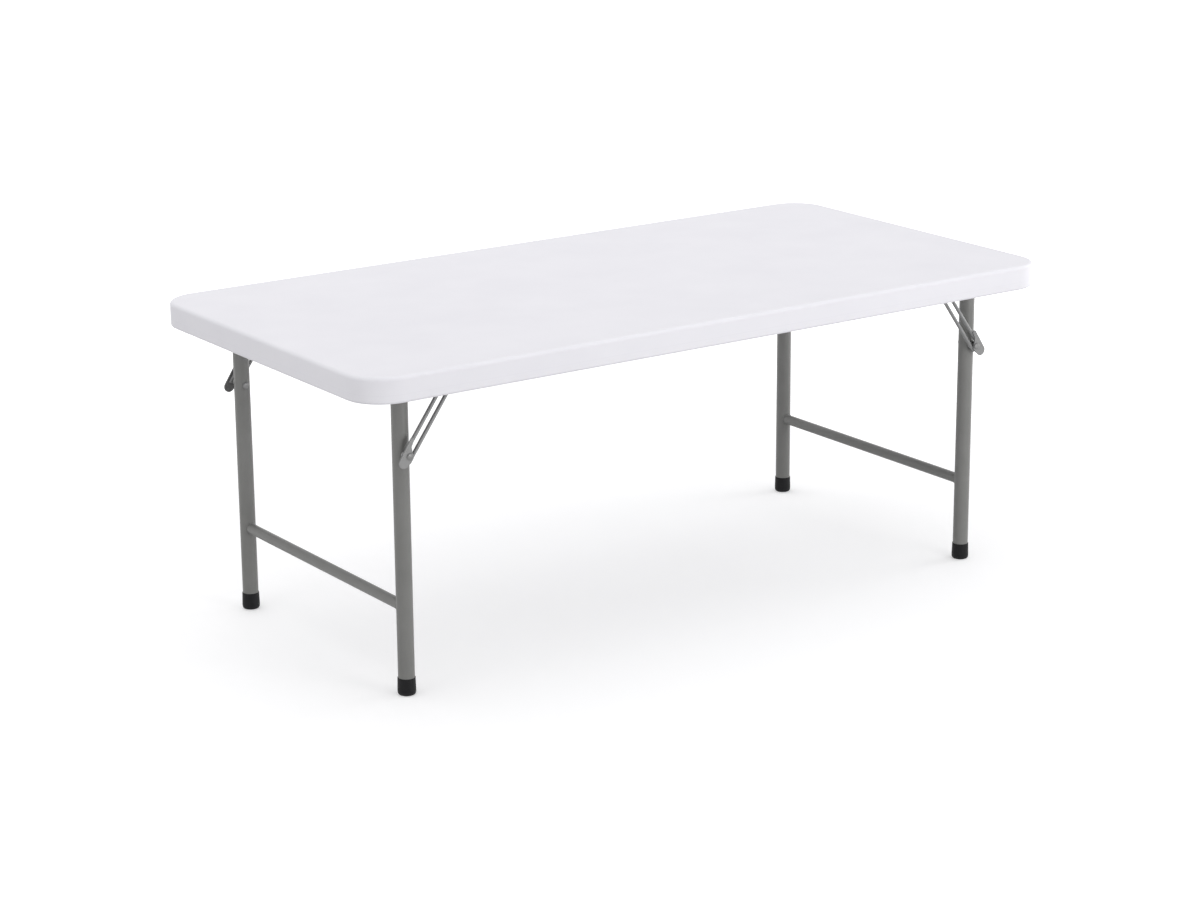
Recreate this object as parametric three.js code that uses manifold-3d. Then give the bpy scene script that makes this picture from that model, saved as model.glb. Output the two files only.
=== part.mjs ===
// Kids' folding table: a hollow moulded top on two steel leg frames that fold flat under it.
// Millimetres. +X runs along the length, +Y to the far side, +Z up.
// The origin is on the floor, under the middle of the top.

import * as THREE from 'three';
import { mergeVertices } from 'three/addons/utils/BufferGeometryUtils.js';
import Module from 'manifold-3d';

const wasm = await Module();
wasm.setup();

// Overall sizes
const tableLength = 1219.2;
const tableWidth = 609.6;
const tableHeight = 482.6;

// Top: a double-skinned panel with a deep hollow rim
const rimDepth = 37.5;
const rimWidth = 24;
const panelThickness = 18;
const skinThickness = 2.2;
const cornerRadius = 57;
const topEdgeRadius = 7;
const bottomEdgeRadius = 4;

// Moulded cones that tie the lower skin to the upper one
const dimpleRadius = 13;
const dimpleFloorRadius = 6;
const dimplePitchLong = 116;
const dimplePitchWide = 104;
const dimpleFieldLength = 870;
const dimpleFieldWidth = 350;

// Leg frames
const legEndInset = 95;
const legSideInset = 78;
const legDiameter = 23.8;
const legWall = 1.2;
const hingeTubeDiameter = 20;
const hingeTubeWall = 1.2;
const legTopDrop = 4;
const crossbarDiameter = 16;
const crossbarWall = 1;
const crossbarHeight = 129;

// Foot caps
const capDiameter = 26.5;
const capHeight = 25.5;
const capFloor = 5;
const capEdgeRadius = 3.5;
const capLipChamfer = 0.5;

// Hinge saddles
const saddleWidth = 26;
const saddleWall = 4.5;
const saddleFootLength = 19;
const saddleFootThickness = 4;
const saddleLegGap = 32;

// Screws
const screwHeadDiameter = 8.4;
const screwHeadHeight = 2.6;
const screwShankDiameter = 4;
const screwReach = 11;

// Braces
const braceAngleDegrees = 54.4;
const pivotDrop = 130.6;
const rodDiameter = 5.5;
const rodSpacing = 12.8;
const rodTail = 6;
const spacerDiameter = 13;
const spacerThickness = 4.6;
const latchThickness = 2;
const latchTop = 24;
const latchHeel = 0.4;
const latchNotch = 12.4;
const latchNotchSide = 5;
const latchNeck = 7;
const latchLowerSide = 7;
const latchUpperSide = 11;
const latchEndSide = 12.5;
const latchNoseRadius = 3;
const tabReach = 19.8;
const tabRadius = 8.3;

// Rivets and guide pins
const rivetDiameter = 5;
const rivetHeadHeight = 2;
const rivetHeadDiameter = 10;
const guidePinDiameter = 5;
const guidePinHeadDiameter = 10;
const guidePinHeadHeight = 1.6;

// Guide plates
const guideSheet = 1.8;
const guideMargin = 5;
const guideFlangeWidth = 20;
const guideScrewInset = 22;

// Clearances
const seatGap = 0.3;
const runningGap = 0.4;
const foldedClearance = 3.5;
const headroom = 1;
const overrun = 10;

// Faceting
const weldDistance = 0.0001;
const roundSegments = 20;
const smallSegments = 10;
const cornerHalfSteps = 5;
const arcHalfSteps = 4;
const edgeSegments = 3;
const bendSegments = 8;
const guideSteps = 14;
const dimpleSides = 8;

// Half turns and radii
const quarterTurn = Math.PI / 2;
const halfTurn = Math.PI;
const fullTurn = 2 * Math.PI;
const legRadius = legDiameter / 2;
const hingeTubeRadius = hingeTubeDiameter / 2;
const crossbarRadius = crossbarDiameter / 2;
const capRadius = capDiameter / 2;
const rodRadius = rodDiameter / 2;
const screwShankRadius = screwShankDiameter / 2;
const rivetRadius = rivetDiameter / 2;
const guidePinRadius = guidePinDiameter / 2;

// Heights
const rimBottom = tableHeight - rimDepth;
const panelUnderside = tableHeight - panelThickness;
const hingeHeight = panelUnderside - capRadius - foldedClearance;
const pivotHeight = tableHeight - pivotDrop;
const fixingFace = panelUnderside - seatGap;

// Places in a leg frame: x runs from the hinge towards the table's middle
const hingeX = tableLength / 2 - legEndInset;
const legY = tableWidth / 2 - legSideInset;
const saddleY = legY - legRadius - saddleLegGap - saddleWidth / 2;
const saddleFootX = hingeTubeRadius + saddleWall + saddleFootLength / 2;

// The brace's layers, measured outwards from the leg's axis
const spacerInner = legRadius + seatGap;
const spacerOuter = spacerInner + spacerThickness;
const rodLayer = spacerOuter + runningGap + rodRadius;
const latchInner = rodLayer + rodRadius + seatGap;
const latchOuter = latchInner + latchThickness;
const rivetOuter = latchOuter + seatGap + rivetHeadHeight;
const webInner = rivetOuter + 2 * seatGap;
const webOuter = webInner + guideSheet;

// Brace length: its upper end stands just under the panel while the table is open
const bendRadius = rodSpacing / 2;
const guideHeight = panelUnderside - headroom - bendRadius - rodRadius;
const openAngle = THREE.MathUtils.degToRad(braceAngleDegrees);
const braceLength = (guideHeight - pivotHeight) / Math.sin(openAngle);
const pivotArm = hingeHeight - pivotHeight;
const foldedAngle = Math.asin((guideHeight - hingeHeight) / braceLength);

// Helpers for closed meshes and solids

// One closed mesh with shared corners, without the flat triangles at a lathe's poles.
function weld(geometry) {
  const bare = new THREE.BufferGeometry();
  bare.setAttribute('position', geometry.getAttribute('position'));
  if (geometry.index) bare.setIndex(geometry.index);
  const merged = mergeVertices(bare, weldDistance);
  const kept = [];
  for (let i = 0; i < merged.index.count; i += 3) {
    const [a, b, c] = [i, i + 1, i + 2].map((corner) => merged.index.getX(corner));
    if (a !== b && b !== c && c !== a) kept.push(a, b, c);
  }
  merged.setIndex(kept);
  return merged;
}

function solidOf(geometry) {
  const mesh = weld(geometry);
  return new wasm.Manifold(new wasm.Mesh({
    numProp: 3,
    vertProperties: new Float32Array(mesh.getAttribute('position').array),
    triVerts: new Uint32Array(mesh.index.array),
  }));
}

function geometryOf(solid) {
  const mesh = solid.getMesh();
  const geometry = new THREE.BufferGeometry();
  geometry.setAttribute('position', new THREE.BufferAttribute(mesh.vertProperties, 3));
  geometry.setIndex(new THREE.BufferAttribute(mesh.triVerts, 1));
  geometry.computeVertexNormals();
  return geometry;
}

function cut(geometry, ...tools) {
  let solid = solidOf(geometry);
  for (const tool of tools) solid = solid.subtract(solidOf(tool));
  return geometryOf(solid);
}

// Helpers for shapes

// A turned piece about the Y axis, from [radius, height] pairs going up its outside.
function turned(pairs, segments = roundSegments) {
  const points = pairs.map(([radius, height]) => new THREE.Vector2(radius, height));
  return new THREE.LatheGeometry(points, segments);
}

// A tube about the Y axis, with its middle at the origin.
function tube(radius, wall, length) {
  const bore = radius - wall;
  const end = length / 2;
  return turned([[bore, -end], [radius, -end], [radius, end], [bore, end], [bore, -end]]);
}

// The corner radius of a faceted bore whose flats clear a given radius.
function clearing(radius, segments) {
  return radius / Math.cos(halfTurn / segments);
}

// A round cutter along Y.
function cutter(radius, length, segments = roundSegments) {
  const corner = clearing(radius, segments);
  return new THREE.CylinderGeometry(corner, corner, length, segments);
}

// Turns a piece made about Y to stand along Z.
function upright(geometry) {
  return geometry.rotateX(quarterTurn);
}

// An outline drawn in X and Z, given a thickness along Y with its middle at the origin.
function sheet(shape, thickness) {
  const geometry = new THREE.ExtrudeGeometry(shape, {
    depth: thickness, bevelEnabled: false, curveSegments: arcHalfSteps,
  });
  return geometry.translate(0, 0, -thickness / 2).rotateX(quarterTurn);
}

// A round hole in such an outline.
function circleHole(x, z, radius, segments) {
  const corner = clearing(radius, segments);
  const points = Array.from({ length: segments }, (_, index) => {
    const angle = (index / segments) * fullTurn;
    return new THREE.Vector2(x + corner * Math.cos(angle), z + corner * Math.sin(angle));
  });
  return new THREE.Path(points);
}

function roundedRectangle(halfLength, halfWidth, radius) {
  const x = halfLength - radius;
  const y = halfWidth - radius;
  const shape = new THREE.Shape();
  shape.moveTo(x, -halfWidth);
  shape.absarc(x, -y, radius, -quarterTurn, 0, false);
  shape.absarc(x, y, radius, 0, quarterTurn, false);
  shape.absarc(-x, y, radius, quarterTurn, halfTurn, false);
  shape.absarc(-x, -y, radius, halfTurn, halfTurn + quarterTurn, false);
  return shape;
}

// A slab with the table's plan shape, drawn in by an inset, its edges rounded all round.
function slab(inset, low, high, edgeRadius) {
  const shape = roundedRectangle(
    tableLength / 2 - inset - edgeRadius,
    tableWidth / 2 - inset - edgeRadius,
    cornerRadius - inset - edgeRadius,
  );
  const geometry = new THREE.ExtrudeGeometry(shape, {
    depth: high - low - 2 * edgeRadius,
    bevelEnabled: edgeRadius > 0,
    bevelThickness: edgeRadius,
    bevelSize: edgeRadius,
    bevelSegments: edgeSegments,
    curveSegments: cornerHalfSteps,
  });
  return geometry.translate(0, 0, low + edgeRadius);
}

// A route given by its stations, so that a straight run takes a single step.
class StationRoute extends THREE.Curve {
  constructor(stations) {
    super();
    this.stations = stations;
  }

  stationAt(share) {
    return this.stations[Math.round(share * (this.stations.length - 1))];
  }

  getPointAt(share, target = new THREE.Vector3()) {
    return target.copy(this.stationAt(share).point);
  }

  getTangentAt(share, target = new THREE.Vector3()) {
    return target.copy(this.stationAt(share).tangent);
  }
}

function station(x, z, tangentX, tangentZ) {
  return { point: new THREE.Vector3(x, 0, z), tangent: new THREE.Vector3(tangentX, 0, tangentZ) };
}

// Screws: a list of every screw, in the leg frame's own directions

// The guide pin's place as the frame folds, from 0 when open to 1 when flat.
function guidePlace(foldShare) {
  const fold = foldShare * quarterTurn;
  const tilt = openAngle + foldShare * (foldedAngle - openAngle);
  return new THREE.Vector2(
    pivotArm * Math.sin(fold) + braceLength * Math.cos(tilt),
    hingeHeight - pivotArm * Math.cos(fold) + braceLength * Math.sin(tilt),
  );
}

const guideStart = guidePlace(0);
const guideEnd = guidePlace(1);
const guideScrewY = legY + webInner + (guideSheet + guideFlangeWidth) / 2;
const saddleScrewSeat = fixingFace - saddleFootThickness;
const guideScrewSeat = fixingFace - guideSheet;

function screwsOn(side) {
  return [
    { name: 'saddle_screw_outer', x: -saddleFootX, y: side * saddleY, seat: saddleScrewSeat },
    { name: 'saddle_screw_inner', x: saddleFootX, y: side * saddleY, seat: saddleScrewSeat },
    {
      name: 'guide_screw_outer',
      x: guideStart.x + guideScrewInset,
      y: side * guideScrewY,
      seat: guideScrewSeat,
    },
    {
      name: 'guide_screw_inner',
      x: guideEnd.x - guideScrewInset,
      y: side * guideScrewY,
      seat: guideScrewSeat,
    },
  ];
}

// Tabletop

// The moulding's outer form, or the hollow inside its skin when inset by the skin.
function topForm(inset) {
  const low = rimBottom + inset;
  const high = tableHeight - inset;
  const roundTop = solidOf(slab(inset, low - rimDepth, high, topEdgeRadius - inset));
  const roundBottom = solidOf(slab(inset, low, high + rimDepth, bottomEdgeRadius - inset));
  return roundTop.intersect(roundBottom);
}

// The recess under the panel, inside the rim; with a skin it is the form that wraps it.
function recessForm(skin) {
  return solidOf(slab(rimWidth - skin, rimBottom - rimDepth, panelUnderside + skin, 0));
}

// Evenly spaced places inside a field, centred on the origin.
function spread(fieldLength, pitch) {
  const gaps = Math.floor(fieldLength / pitch);
  return Array.from({ length: gaps + 1 }, (_, index) => (index - gaps / 2) * pitch);
}

// A cone from below the panel up to the upper skin. As a tie it is a skin thicker and runs into it.
function dimpleForm(x, y, skin) {
  const depth = panelThickness - 2 * skinThickness;
  const slope = (dimpleRadius - dimpleFloorRadius) / depth;
  const low = panelUnderside - overrun;
  const high = panelUnderside + depth + 2 * skin;
  const cone = new THREE.CylinderGeometry(
    dimpleFloorRadius + skin - 2 * slope * skin,
    dimpleRadius + skin + slope * overrun,
    high - low,
    dimpleSides,
  );
  return solidOf(upright(cone).translate(x, y, (low + high) / 2));
}

function tabletop() {
  let hollow = topForm(skinThickness).subtract(recessForm(skinThickness));
  let body = topForm(0).subtract(recessForm(0));
  for (const x of spread(dimpleFieldLength, dimplePitchLong)) {
    for (const y of spread(dimpleFieldWidth, dimplePitchWide)) {
      hollow = hollow.subtract(dimpleForm(x, y, skinThickness));
      body = body.subtract(dimpleForm(x, y, 0));
    }
  }
  body = body.subtract(hollow);
  for (const direction of [-1, 1]) {
    for (const side of [-1, 1]) {
      for (const screw of screwsOn(side)) {
        const hole = upright(cutter(screwShankRadius + seatGap, 2 * skinThickness, smallSegments));
        const x = direction * (hingeX - screw.x);
        body = body.subtract(solidOf(hole.translate(x, screw.y, panelUnderside)));
      }
    }
  }
  return geometryOf(body);
}

// Leg frame: legs, hinge tube, crossbar and foot caps

function leg() {
  const low = capFloor + seatGap;
  const high = hingeHeight - legTopDrop;
  const post = upright(tube(legRadius, legWall, high - low)).translate(0, 0, (low + high) / 2);
  const saddleCut = cutter(hingeTubeRadius + seatGap, 2 * legDiameter);
  const rivetCut = cutter(rivetRadius + seatGap, 2 * legDiameter, smallSegments);
  return cut(post, saddleCut.translate(0, 0, hingeHeight), rivetCut.translate(0, 0, pivotHeight));
}

function crossbar() {
  const bar = tube(crossbarRadius, crossbarWall, 2 * legY);
  const ends = [-legY, legY].map((y) => {
    const legCut = upright(cutter(legRadius + seatGap, 2 * crossbarDiameter));
    return legCut.translate(0, y, 0);
  });
  return cut(bar, ...ends);
}

function hingeTube() {
  return tube(hingeTubeRadius, hingeTubeWall, 2 * (legY + legRadius));
}

// A cup that the leg stands in.
function footCap() {
  const bore = legRadius + seatGap;
  const edgeMiddle = capEdgeRadius * (1 - Math.SQRT1_2);
  return upright(turned([
    [0, 0],
    [capRadius - capEdgeRadius, 0],
    [capRadius - edgeMiddle, edgeMiddle],
    [capRadius, capEdgeRadius],
    [capRadius, capHeight - capLipChamfer],
    [capRadius - capLipChamfer, capHeight],
    [bore, capHeight],
    [bore, capFloor],
    [0, capFloor],
  ]));
}

// Hinge saddle: a block screwed under the panel, in which the hinge tube turns

function saddle() {
  const outside = hingeTubeRadius + saddleWall;
  const reach = outside + saddleFootLength;
  const footBottom = fixingFace - saddleFootThickness;
  const shape = new THREE.Shape();
  shape.moveTo(reach, fixingFace);
  shape.lineTo(-reach, fixingFace);
  shape.lineTo(-reach, footBottom);
  shape.lineTo(-outside, footBottom);
  shape.absarc(0, hingeHeight, outside, halfTurn, fullTurn, false);
  shape.lineTo(outside, footBottom);
  shape.lineTo(reach, footBottom);
  shape.holes.push(circleHole(0, hingeHeight, hingeTubeRadius + runningGap, roundSegments));
  const holes = [-saddleFootX, saddleFootX].map((x) => {
    const hole = upright(cutter(screwShankRadius + seatGap, 2 * overrun, smallSegments));
    return hole.translate(x, 0, footBottom);
  });
  return cut(sheet(shape, saddleWidth), ...holes);
}

// Screw: a domed head with a plain shank, its seat at the origin

function screw() {
  const head = screwHeadDiameter / 2;
  return upright(turned([
    [0, -seatGap - screwHeadHeight],
    [head / 2, -seatGap - screwHeadHeight],
    [head, -seatGap - screwHeadHeight / 2],
    [head, -seatGap],
    [screwShankRadius, -seatGap],
    [screwShankRadius, screwReach - screwShankRadius],
    [0, screwReach],
  ], smallSegments));
}

// Brace pieces, drawn with X along the brace from its pivot and Z across it

// One rod bent round at the top into two parallel runs.
function braceRod() {
  const stations = [station(-rodTail, bendRadius, 1, 0)];
  for (let step = 0; step <= bendSegments; step += 1) {
    const angle = quarterTurn - (step / bendSegments) * halfTurn;
    const x = braceLength + bendRadius * Math.cos(angle);
    stations.push(station(x, bendRadius * Math.sin(angle), Math.sin(angle), -Math.cos(angle)));
  }
  stations.push(station(-rodTail, -bendRadius, -1, 0));
  const section = new THREE.Shape().absarc(0, 0, rodRadius, 0, fullTurn, false);
  return new THREE.ExtrudeGeometry(section, {
    steps: stations.length - 1,
    curveSegments: smallSegments / 2,
    extrudePath: new StationRoute(stations),
  });
}

// A stamped plate over the two runs' ends, with a round thumb tab beyond the leg.
function latchPlate() {
  const tabX = tabRadius - tabReach;
  const tabZ = latchUpperSide - tabRadius;
  const noseX = latchTop - latchNoseRadius;
  const noseZ = latchEndSide - latchNoseRadius;
  const shape = new THREE.Shape();
  shape.moveTo(tabX, latchUpperSide);
  shape.absarc(tabX, tabZ, tabRadius, quarterTurn, halfTurn + quarterTurn, false);
  shape.lineTo(-latchNeck, -latchLowerSide);
  shape.lineTo(latchHeel, -latchLowerSide);
  shape.lineTo(latchNotch, latchNotchSide);
  shape.absarc(noseX, noseZ, latchNoseRadius, -quarterTurn, quarterTurn, false);
  shape.holes.push(circleHole(0, 0, rivetRadius + seatGap, smallSegments));
  return sheet(shape, latchThickness);
}

// Pieces about the brace's pivot, with Y pointing away from the leg

// A thick washer that holds the brace clear of the leg.
function spacer() {
  const bore = rivetRadius + seatGap;
  const rim = spacerDiameter / 2;
  return turned([
    [bore, spacerInner],
    [rim, spacerInner],
    [rim, spacerOuter],
    [bore, spacerOuter],
    [bore, spacerInner],
  ]);
}

// A rivet through the leg, the spacer and the latch plate, between the two runs.
function rivet() {
  const head = rivetHeadDiameter / 2;
  const innerSeat = -legRadius - seatGap;
  const outerSeat = latchOuter + seatGap;
  return turned([
    [0, innerSeat - rivetHeadHeight],
    [head / 2, innerSeat - rivetHeadHeight],
    [head, innerSeat - rivetHeadHeight / 2],
    [head, innerSeat],
    [rivetRadius, innerSeat],
    [rivetRadius, outerSeat],
    [head, outerSeat],
    [head, outerSeat + rivetHeadHeight / 2],
    [head / 2, rivetOuter],
    [0, rivetOuter],
  ], smallSegments);
}

// A pin in the bend of the brace, whose outer end runs in the guide plate's slot.
function guidePin() {
  const head = guidePinHeadDiameter / 2;
  const shoulder = bendRadius - rodRadius - seatGap;
  const innerSeat = rodLayer - rodRadius - seatGap;
  const outerSeat = webOuter + seatGap;
  const shoulderEnd = webInner - seatGap;
  return turned([
    [0, innerSeat - guidePinHeadHeight],
    [head, innerSeat - guidePinHeadHeight],
    [head, innerSeat],
    [shoulder, innerSeat],
    [shoulder, shoulderEnd],
    [guidePinRadius, shoulderEnd],
    [guidePinRadius, outerSeat],
    [head, outerSeat],
    [head, outerSeat + guidePinHeadHeight / 2],
    [head / 2, outerSeat + guidePinHeadHeight],
    [0, outerSeat + guidePinHeadHeight],
  ], smallSegments);
}

// Guide plate: an angle of sheet steel, its slot following the pin as the frame folds

// A line beside the pin's path, at a distance below it (positive) or above it (negative).
function besidePath(distance) {
  const points = [];
  for (let step = 0; step <= guideSteps; step += 1) {
    const before = guidePlace(Math.max(step - 1, 0) / guideSteps);
    const after = guidePlace(Math.min(step + 1, guideSteps) / guideSteps);
    const along = after.sub(before).normalize();
    const place = guidePlace(step / guideSteps);
    points.push(new THREE.Vector2(place.x + along.y * distance, place.y - along.x * distance));
  }
  return points;
}

function guideSlot() {
  const halfWidth = guidePinRadius + runningGap;
  const below = besidePath(halfWidth);
  const above = besidePath(-halfWidth).reverse();
  const endTurn = below.at(-1).clone().sub(guideEnd).angle();
  const startTurn = above.at(-1).clone().sub(guideStart).angle();
  const slot = new THREE.Path(below);
  slot.absarc(guideEnd.x, guideEnd.y, halfWidth, endTurn, endTurn + halfTurn, false);
  above.forEach((point) => slot.lineTo(point.x, point.y));
  slot.absarc(guideStart.x, guideStart.y, halfWidth, startTurn, startTurn + halfTurn, false);
  return slot;
}

function guidePlate(side) {
  const edge = guidePinRadius + runningGap + guideMargin;
  const low = guideStart.x - edge;
  const high = guideEnd.x + edge;
  const outline = new THREE.Shape();
  outline.moveTo(high, fixingFace);
  outline.lineTo(low, fixingFace);
  outline.lineTo(low, guideStart.y);
  besidePath(edge).forEach((point) => outline.lineTo(point.x, point.y));
  outline.lineTo(high, guideEnd.y);
  outline.holes.push(guideSlot());
  const web = sheet(outline, guideSheet).translate(0, side * (legY + webInner + guideSheet / 2), 0);
  const flangeWidth = guideSheet + guideFlangeWidth;
  const flange = new THREE.BoxGeometry(high - low, flangeWidth, guideSheet);
  flange.translate((low + high) / 2, side * guideScrewY, fixingFace - guideSheet / 2);
  let plate = solidOf(web).add(solidOf(flange));
  for (const x of [guideStart.x + guideScrewInset, guideEnd.x - guideScrewInset]) {
    const hole = upright(cutter(screwShankRadius + seatGap, 2 * overrun, smallSegments));
    plate = plate.subtract(solidOf(hole.translate(x, side * guideScrewY, fixingFace)));
  }
  return geometryOf(plate);
}

// Materials

function finish(color, roughness, metalness = 0) {
  return new THREE.MeshStandardMaterial({ color, roughness, metalness });
}

const finishes = {
  top: () => finish('#eeedf2', 0.5),
  frame: () => finish('#80807c', 0.45, 0.2),
  brace: () => finish('#8c8c8a', 0.35, 0.6),
  cap: () => finish('#202022', 0.6),
  saddle: () => finish('#2a2a2c', 0.6),
  fastener: () => finish('#9a9a98', 0.3, 0.9),
};

// Assembly

function piece(group, name, geometry, material) {
  const mesh = new THREE.Mesh(geometry, material);
  mesh.name = name;
  group.add(mesh);
  return mesh;
}

// Everything on one leg's side of a frame.
function addSide(frame, side, label) {
  const flip = side > 0 ? 0 : halfTurn;

  const post = piece(frame, `leg_${label}`, leg(), finishes.frame());
  post.position.y = side * legY;

  const cap = piece(frame, `foot_cap_${label}`, footCap(), finishes.cap());
  cap.position.y = side * legY;

  const block = piece(frame, `hinge_saddle_${label}`, saddle(), finishes.saddle());
  block.position.y = side * saddleY;

  piece(frame, `guide_plate_${label}`, guidePlate(side), finishes.frame());

  for (const place of screwsOn(side)) {
    const fastener = piece(frame, `${place.name}_${label}`, screw(), finishes.fastener());
    fastener.position.set(place.x, place.y, place.seat);
  }

  const pivot = piece(frame, `brace_rivet_${label}`, rivet(), finishes.brace());
  pivot.position.set(0, side * legY, pivotHeight);
  pivot.rotation.z = flip;

  const washer = piece(frame, `brace_spacer_${label}`, spacer(), finishes.fastener());
  washer.position.set(0, side * legY, pivotHeight);
  washer.rotation.z = flip;

  const brace = new THREE.Group();
  brace.position.set(0, side * legY, pivotHeight);
  brace.rotation.y = -openAngle;
  frame.add(brace);

  const rod = piece(brace, `brace_rod_${label}`, braceRod(), finishes.brace());
  rod.position.y = side * rodLayer;

  const plate = piece(brace, `latch_plate_${label}`, latchPlate(), finishes.brace());
  plate.position.y = side * (latchInner + latchThickness / 2);

  const pin = piece(brace, `guide_pin_${label}`, guidePin(), finishes.fastener());
  pin.position.x = braceLength;
  pin.rotation.x = flip;
}

// A whole leg frame, facing the table's middle; turned half round, the sides change places.
function legFrame(end, direction) {
  const frame = new THREE.Group();
  frame.position.x = -direction * hingeX;
  frame.rotation.z = direction > 0 ? 0 : halfTurn;

  const hinge = piece(frame, `hinge_tube_${end}`, hingeTube(), finishes.frame());
  hinge.position.z = hingeHeight;

  const bar = piece(frame, `crossbar_${end}`, crossbar(), finishes.frame());
  bar.position.z = crossbarHeight;

  addSide(frame, -direction, `${end}_near`);
  addSide(frame, direction, `${end}_far`);
  return frame;
}

const table = new THREE.Group();
piece(table, 'tabletop', tabletop(), finishes.top());
table.add(legFrame('left', 1));
table.add(legFrame('right', -1));

export default table;
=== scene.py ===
# Kids' folding table, dressed piece by piece in the order it is put together.
# Metres, +X along the length, +Y to the far side, +Z up, floor at zero.

import math

import bmesh
import bpy
from mathutils import Matrix, Vector


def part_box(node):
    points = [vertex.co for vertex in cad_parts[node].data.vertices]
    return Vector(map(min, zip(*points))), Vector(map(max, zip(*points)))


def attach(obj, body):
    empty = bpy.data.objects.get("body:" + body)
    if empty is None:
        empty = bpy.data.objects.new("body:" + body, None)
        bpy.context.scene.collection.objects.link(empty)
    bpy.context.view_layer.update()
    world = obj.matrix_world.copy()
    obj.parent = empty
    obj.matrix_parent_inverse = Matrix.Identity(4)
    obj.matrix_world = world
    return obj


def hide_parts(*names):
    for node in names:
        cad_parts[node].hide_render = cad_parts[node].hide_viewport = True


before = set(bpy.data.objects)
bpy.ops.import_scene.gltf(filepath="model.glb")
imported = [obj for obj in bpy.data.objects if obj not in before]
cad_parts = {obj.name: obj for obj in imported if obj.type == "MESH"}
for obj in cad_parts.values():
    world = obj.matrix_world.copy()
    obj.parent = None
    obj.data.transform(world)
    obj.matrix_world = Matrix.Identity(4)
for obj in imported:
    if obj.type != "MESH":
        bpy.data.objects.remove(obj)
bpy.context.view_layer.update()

# ---------------------------------------------------------------------------
# Top: one hollow blow moulding of white high-density polyethylene, with a deep rim
# round a recess. Cones moulded up from the lower skin tie it to the upper one.
# ---------------------------------------------------------------------------

mm = 0.001
top_low, top_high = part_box("tabletop")
saddle_low, saddle_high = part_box("hinge_saddle_left_near")
ceiling = saddle_high.z + 0.3 * mm
rim_width = 24 * mm
corner_radius = 57 * mm
recess_draft = 0.8 * mm
upper_round = 5.5 * mm
skirt_foot_round = 4 * mm
recess_mouth_round = 2.5 * mm
ceiling_round = 3 * mm
parting_height = 12.5 * mm
parting_width = 0.35 * mm
cone_columns, cone_rows = 8, 4
cone_pitch_x, cone_pitch_y = 116 * mm, 104 * mm
cone_mouth = 14.2 * mm
# The radius and the height of each ring up a cone, in millimetres.
cone_steps = [(13.2, 0.35), (12.4, 1.3), (6.6, 12.4), (5.9, 13.3), (5.0, 13.6)]


def new_vertices(grown):
    """The vertices that an extrusion has made."""
    return [item for item in grown["geom"] if isinstance(item, bmesh.types.BMVert)]


def round_over(form, width, segments, where=lambda middle: True, sharper_than=30):
    """Rounds the edges sharper than an angle, in degrees, whose middle passes the test."""
    edges = [
        edge
        for edge in form.edges
        if len(edge.link_faces) == 2
        and edge.calc_face_angle() > math.radians(sharper_than)
        and where((edge.verts[0].co + edge.verts[1].co) / 2)
    ]
    bmesh.ops.bevel(
        form, geom=edges, affect="EDGES", offset=width, offset_type="OFFSET",
        segments=segments, profile=0.5, material=-1,
    )


def slab(form, move):
    """Turns a flat sheet into a slab that reaches along move."""
    grown = bmesh.ops.extrude_face_region(form, geom=form.faces[:])
    bmesh.ops.translate(form, vec=move, verts=new_vertices(grown))
    bmesh.ops.recalc_face_normals(form, faces=form.faces)


def made(name, form, material):
    """Finishes a form into an object in the scene."""
    bmesh.ops.remove_doubles(form, verts=form.verts, dist=0.001 * mm)
    bmesh.ops.recalc_face_normals(form, faces=form.faces)
    mesh = bpy.data.meshes.new(name)
    form.to_mesh(mesh)
    form.free()
    mesh.shade_smooth()
    mesh.set_sharp_from_angle(angle=math.radians(40))
    mesh.materials.append(material)
    piece = bpy.data.objects.new(name, mesh)
    bpy.context.scene.collection.objects.link(piece)
    flats = piece.modifiers.new("flats", "WEIGHTED_NORMAL")
    flats.keep_sharp = True
    return piece


def linear(colour):
    """An sRGB hex colour as the linear values that a shader takes."""
    parts = [int(colour[start:start + 2], 16) / 255 for start in (1, 3, 5)]
    return [p / 12.92 if p <= 0.04045 else ((p + 0.055) / 1.055) ** 2.4 for p in parts] + [1]


def blank(name):
    """A new material with nothing in its node tree."""
    material = bpy.data.materials.new(name)
    material.use_nodes = True
    material.node_tree.nodes.clear()
    return material, material.node_tree


def add(tree, kind, inputs=None, **settings):
    """Adds a node: settings on the node, and values or links on its inputs."""
    node = tree.nodes.new(kind)
    for name, value in settings.items():
        setattr(node, name, value)
    for name, value in (inputs or {}).items():
        if isinstance(value, bpy.types.NodeSocket):
            tree.links.new(value, node.inputs[name])
        else:
            node.inputs[name].default_value = value
    return node


# Blow-moulded polyethylene: a waxy satin white with a very slight lavender cast. The mould's
# fine pebble grain is about 0.6 mm, drawn at 1.6 mm so that it shows, and the skin is faintly
# uneven over a hand's width. A parting line runs round the skirt.
polyethylene, tree = blank("blow_moulded_polyethylene_white")
place = add(tree, "ShaderNodeTexCoord").outputs["Object"]
cloud = add(tree, "ShaderNodeTexNoise", {"Vector": place, "Scale": 1 / 0.09, "Detail": 3})
shade = add(
    tree, "ShaderNodeMix",
    {0: cloud.outputs["Fac"], 6: linear("#e9e8ee"), 7: linear("#f1f0f5")}, data_type="RGBA",
)
height = add(tree, "ShaderNodeSeparateXYZ", {0: place})
line = add(
    tree, "ShaderNodeMapRange",
    {
        0: add(
            tree, "ShaderNodeMath",
            {0: height.outputs["Z"], 1: top_low.z + parting_height, 2: parting_width},
            operation="COMPARE",
        ).outputs[0],
        3: 0.0, 4: 0.08,
    },
)
lined = add(
    tree, "ShaderNodeMix",
    {0: line.outputs[0], 6: shade.outputs[2], 7: linear("#c9c8cf")}, data_type="RGBA",
)
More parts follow.
